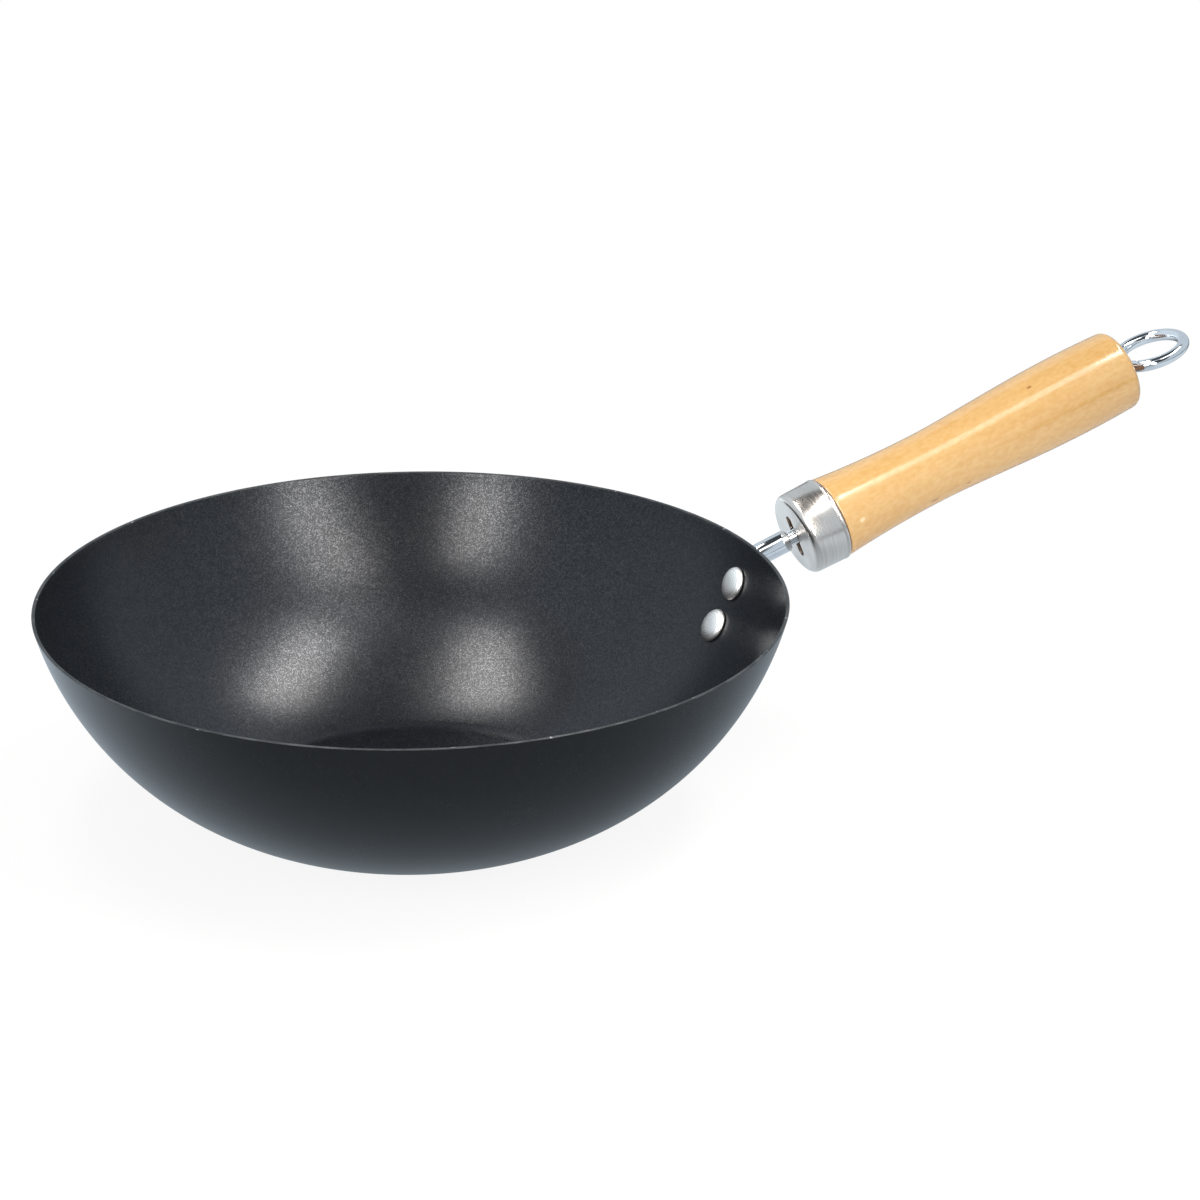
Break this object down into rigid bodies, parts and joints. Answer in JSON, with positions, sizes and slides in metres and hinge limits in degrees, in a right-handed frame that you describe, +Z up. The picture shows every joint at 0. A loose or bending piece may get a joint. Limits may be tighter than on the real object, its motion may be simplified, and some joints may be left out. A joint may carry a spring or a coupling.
{
  "type": "nonstick wok",
  "caption": "Flat-based nonstick steel wok with a riveted plated shank, a metal ferrule, a turned wooden grip and a wire hanging eye.",
  "frame": {"origin": "middle of the flat base's underside, on the plane the wok stands on", "axes": "+X from the bowl's middle along the handle, +Z up out of the bowl, +Y completes a right-handed frame"},
  "size_m": [0.4578, 0.27, 0.1379],
  "materials": {
    "nonstick_coating": "satin charcoal nonstick coating with a fine silvery speckle, on steel sheet",
    "plated_rod": "bright plated steel rod",
    "rivet_metal": "pale satin rivet metal",
    "ferrule_metal": "polished face, finely brushed side",
    "varnished_wood": "pale turned wood under clear gloss varnish",
    "plated_wire": "bright plated steel wire"
  },
  "bodies": {
    "wok": {"wok_bowl": "nonstick_coating", "handle_shank": "plated_rod", "upper_rivet": "rivet_metal", "lower_rivet": "rivet_metal", "ferrule": "ferrule_metal", "wood_grip": "varnished_wood"},
    "eye_bolt": {"hanging_eye": "plated_wire"}
  },
  "joints": [
    {"name": "eye_turn", "type": "hinge", "parent": "wok", "child": "eye_bolt", "pos_m": [0.135, 0, 0.071], "axis": [0.9489, 0, 0.3156], "continuous": true}
  ]
}
